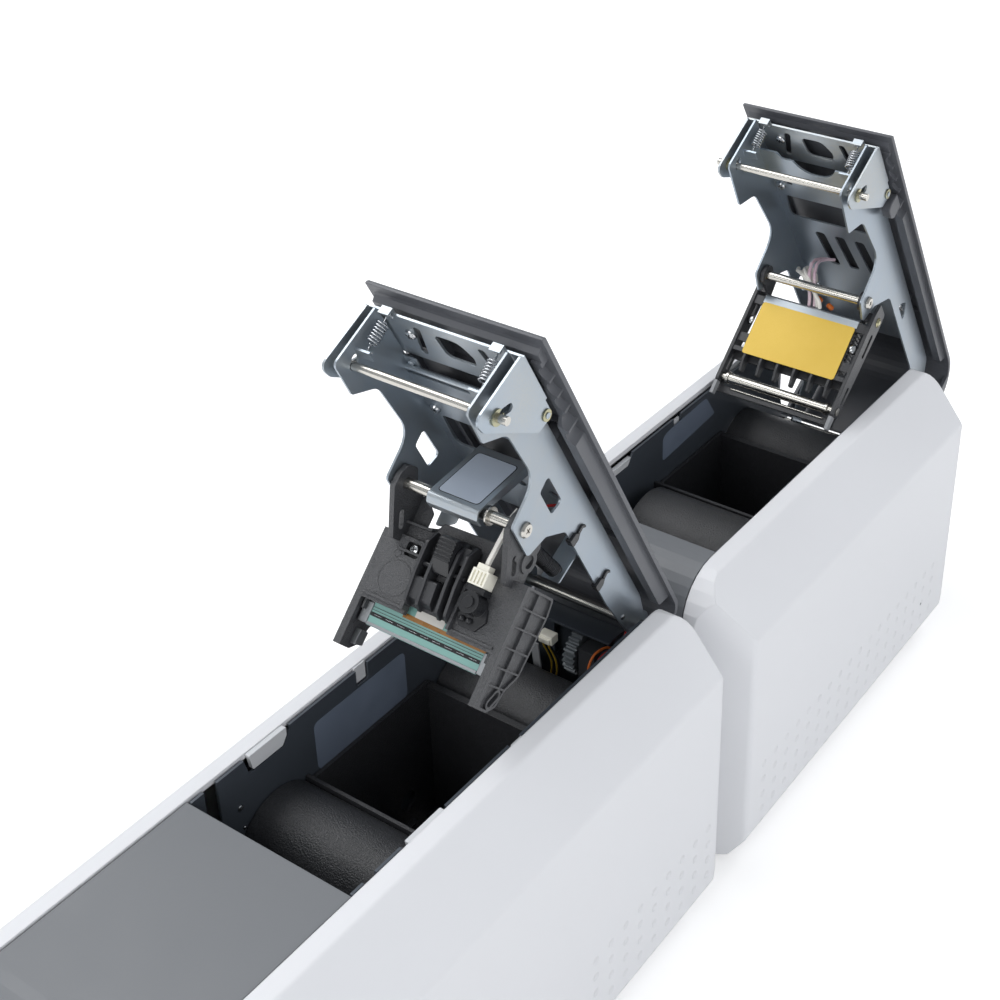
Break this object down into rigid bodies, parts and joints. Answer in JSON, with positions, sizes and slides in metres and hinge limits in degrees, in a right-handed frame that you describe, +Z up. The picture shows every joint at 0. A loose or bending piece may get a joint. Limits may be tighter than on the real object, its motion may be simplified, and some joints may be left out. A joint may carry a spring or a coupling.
{
  "type": "id card printer",
  "caption": "Desktop ID card printer docked to an in-line laminating unit, both hinged covers open on their latch frames and swinging modules.",
  "frame": {"origin": "centre of the bounding box's bottom face, on the table under the rubber feet, covers open", "axes": "+X to the machine's right as its card slot faces the viewer, +Y from the card slot's end to the hinged end, +Z up"},
  "size_m": [0.173, 0.7568, 0.4013],
  "materials": {
    "front_panel_right": "fine textured white moulding",
    "front_panel_left": "fine textured white moulding",
    "rear_panel_right": "fine textured white moulding",
    "rear_panel_left": "fine textured white moulding",
    "front_deck": "fine textured grey moulding",
    "rear_deck": "fine textured grey moulding",
    "front_chassis": "dark coated steel sheet",
    "rear_chassis": "dark coated steel sheet",
    "front_tub": "black granular moulding",
    "rear_tub": "black granular moulding",
    "front_base": "dark coated steel sheet",
    "rear_base": "dark coated steel sheet",
    "feet": "matt rubber",
    "dock_link": "zinc-plated sheet",
    "end_plate": "dark grey moulding",
    "inlet": "black moulding",
    "rocker": "black moulding",
    "button_left": "light grey moulding",
    "button_right": "light grey moulding",
    "platen_roller": "matt rubber",
    "lower_roller": "matt rubber",
    "drive_motor": "dark gearbox and motor",
    "drive_gear": "plated steel",
    "loom": "red insulated lead",
    "front_cover_lead": "red insulated lead",
    "front_hinge_shaft": "ground steel",
    "rear_hinge_shaft": "ground steel",
    "front_cover": "fine textured grey moulding",
    "rear_cover": "fine textured dark grey moulding",
    "front_bracket": "zinc-plated sheet",
    "rear_bracket": "zinc-plated sheet",
    "bracket_screws_front": "plated steel",
    "bracket_screws_rear": "plated steel",
    "front_latch_frame": "zinc-plated sheet",
    "rear_latch_frame": "zinc-plated sheet",
    "front_latch_shaft": "ground steel",
    "rear_latch_shaft": "ground steel",
    "front_latch_clips": "yellow-plated spring clip",
    "rear_latch_clips": "yellow-plated spring clip",
    "front_latch_springs": "spring wire",
    "rear_latch_springs": "spring wire",
    "head_pivot_shaft": "ground steel",
    "head_shield": "zinc-plated sheet",
    "head_carrier": "black granular moulding",
    "head_strip": "glazed ceramic",
    "head_block": "cast aluminium",
    "head_clamp": "black granular moulding",
    "thumb_lever": "black moulding",
    "head_sensor": "black moulding",
    "head_plug": "cream plug",
    "head_wires": "insulated leads",
    "return_spring": "spring wire",
    "heater_pivot_shaft": "ground steel",
    "heater_frame": "black granular moulding",
    "heater_core": "zinc-plated sheet",
    "heater_plate": "bare yellow plate",
    "heater_roller": "ground steel",
    "heater_guides": "grey moulding",
    "heater_wires": "insulated leads"
  },
  "bodies": {
    "housing": {"front_panel_right": "front_panel_right", "front_panel_left": "front_panel_left", "rear_panel_right": "rear_panel_right", "rear_panel_left": "rear_panel_left", "front_deck": "front_deck", "rear_deck": "rear_deck", "front_chassis": "front_chassis", "rear_chassis": "rear_chassis", "front_tub": "front_tub", "rear_tub": "rear_tub", "front_base": "front_base", "rear_base": "rear_base", "feet": "feet", "dock_link": "dock_link", "end_plate": "end_plate", "inlet": "inlet", "drive_motor": "drive_motor", "loom": "loom"},
    "front_cover": {"front_cover": "front_cover", "front_bracket": "front_bracket", "bracket_screws_front": "bracket_screws_front", "front_hinge_shaft": "front_hinge_shaft", "front_latch_springs": "front_latch_springs", "head_pivot_shaft": "head_pivot_shaft", "head_shield": "head_shield", "return_spring": "return_spring", "front_cover_lead": "front_cover_lead"},
    "rear_cover": {"rear_cover": "rear_cover", "rear_bracket": "rear_bracket", "bracket_screws_rear": "bracket_screws_rear", "rear_hinge_shaft": "rear_hinge_shaft", "rear_latch_springs": "rear_latch_springs", "heater_pivot_shaft": "heater_pivot_shaft"},
    "front_latch": {"front_latch_frame": "front_latch_frame", "front_latch_shaft": "front_latch_shaft", "front_latch_clips": "front_latch_clips"},
    "rear_latch": {"rear_latch_frame": "rear_latch_frame", "rear_latch_shaft": "rear_latch_shaft", "rear_latch_clips": "rear_latch_clips"},
    "print_head": {"head_carrier": "head_carrier", "head_strip": "head_strip", "head_block": "head_block", "head_clamp": "head_clamp", "head_sensor": "head_sensor", "head_plug": "head_plug", "head_wires": "head_wires"},
    "thumb_lever": {"thumb_lever": "thumb_lever"},
    "heater": {"heater_frame": "heater_frame", "heater_core": "heater_core", "heater_plate": "heater_plate", "heater_guides": "heater_guides", "heater_wires": "heater_wires"},
    "drive_gear": {"drive_gear": "drive_gear"},
    "heater_roller": {"heater_roller": "heater_roller"},
    "platen": {"platen_roller": "platen_roller"},
    "lower_roller": {"lower_roller": "lower_roller"},
    "button_left": {"button_left": "button_left"},
    "button_right": {"button_right": "button_right"},
    "rocker": {"rocker": "rocker"}
  },
  "joints": [
    {"name": "front_cover_hinge", "type": "hinge", "parent": "housing", "child": "front_cover", "pos_m": [0, -0.00294, 0.1815], "axis": [1, 0, 0], "range_deg": [0, 61.6]},
    {"name": "rear_cover_hinge", "type": "hinge", "parent": "housing", "child": "rear_cover", "pos_m": [0, 0.31616, 0.121], "axis": [1, 0, 0], "range_deg": [0, 57.4]},
    {"name": "front_latch_pivot", "type": "hinge", "parent": "front_cover", "child": "front_latch", "pos_m": [0, -0.09068, 0.35744], "axis": [1, 0, 0], "range_deg": [-4, 0], "stiffness_Nm_per_rad": 1.2, "springref_deg": 6.88, "deforming": ["front_latch_springs"]},
    {"name": "rear_latch_pivot", "type": "hinge", "parent": "rear_cover", "child": "rear_latch", "pos_m": [0, 0.25569, 0.33991], "axis": [1, 0, 0], "range_deg": [-4, 0], "stiffness_Nm_per_rad": 1.2, "springref_deg": 6.88, "deforming": ["rear_latch_springs"]},
    {"name": "head_swing", "type": "hinge", "parent": "front_cover", "child": "print_head", "pos_m": [0, -0.10091, 0.29962], "axis": [1, 0, 0], "range_deg": [-12, 0], "stiffness_Nm_per_rad": 0.4, "springref_deg": 28.65, "deforming": ["return_spring"]},
    {"name": "thumb_lever_pivot", "type": "hinge", "parent": "print_head", "child": "thumb_lever", "pos_m": [0, -0.11672, 0.27098], "axis": [1, 0, 0], "range_deg": [-7, 0], "stiffness_Nm_per_rad": 0.05, "springref_deg": 11.46},
    {"name": "heater_swing", "type": "hinge", "parent": "rear_cover", "child": "heater", "pos_m": [0, 0.25519, 0.26552], "axis": [1, 0, 0], "range_deg": [-10, 0]},
    {"name": "heater_roller_spin", "type": "hinge", "parent": "heater", "child": "heater_roller", "pos_m": [0, 0.21277, 0.20888], "axis": [1, 0, 0], "continuous": true},
    {"name": "platen_spin", "type": "hinge", "parent": "housing", "child": "platen", "pos_m": [0, -0.11494, 0.0836], "axis": [1, 0, 0], "continuous": true},
    {"name": "lower_roller_spin", "type": "hinge", "parent": "housing", "child": "lower_roller", "pos_m": [0, 0.18666, 0.0652], "axis": [1, 0, 0], "continuous": true},
    {"name": "button_left_press", "type": "slide", "parent": "housing", "child": "button_left", "axis": [0, 1, 0], "range_m": [0, 0.001], "stiffness_N_per_m": 400, "springref_m": -0.001},
    {"name": "button_right_press", "type": "slide", "parent": "housing", "child": "button_right", "axis": [0, 1, 0], "range_m": [0, 0.001], "stiffness_N_per_m": 400, "springref_m": -0.001},
    {"name": "drive_gear_spin", "type": "hinge", "parent": "housing", "child": "drive_gear", "pos_m": [0, -0.01644, 0.1605], "axis": [1, 0, 0], "continuous": true},
    {"name": "rocker_tilt", "type": "hinge", "parent": "housing", "child": "rocker", "pos_m": [0.029, 0.30916, 0.03], "axis": [1, 0, 0], "range_deg": [0, 8]}
  ]
}
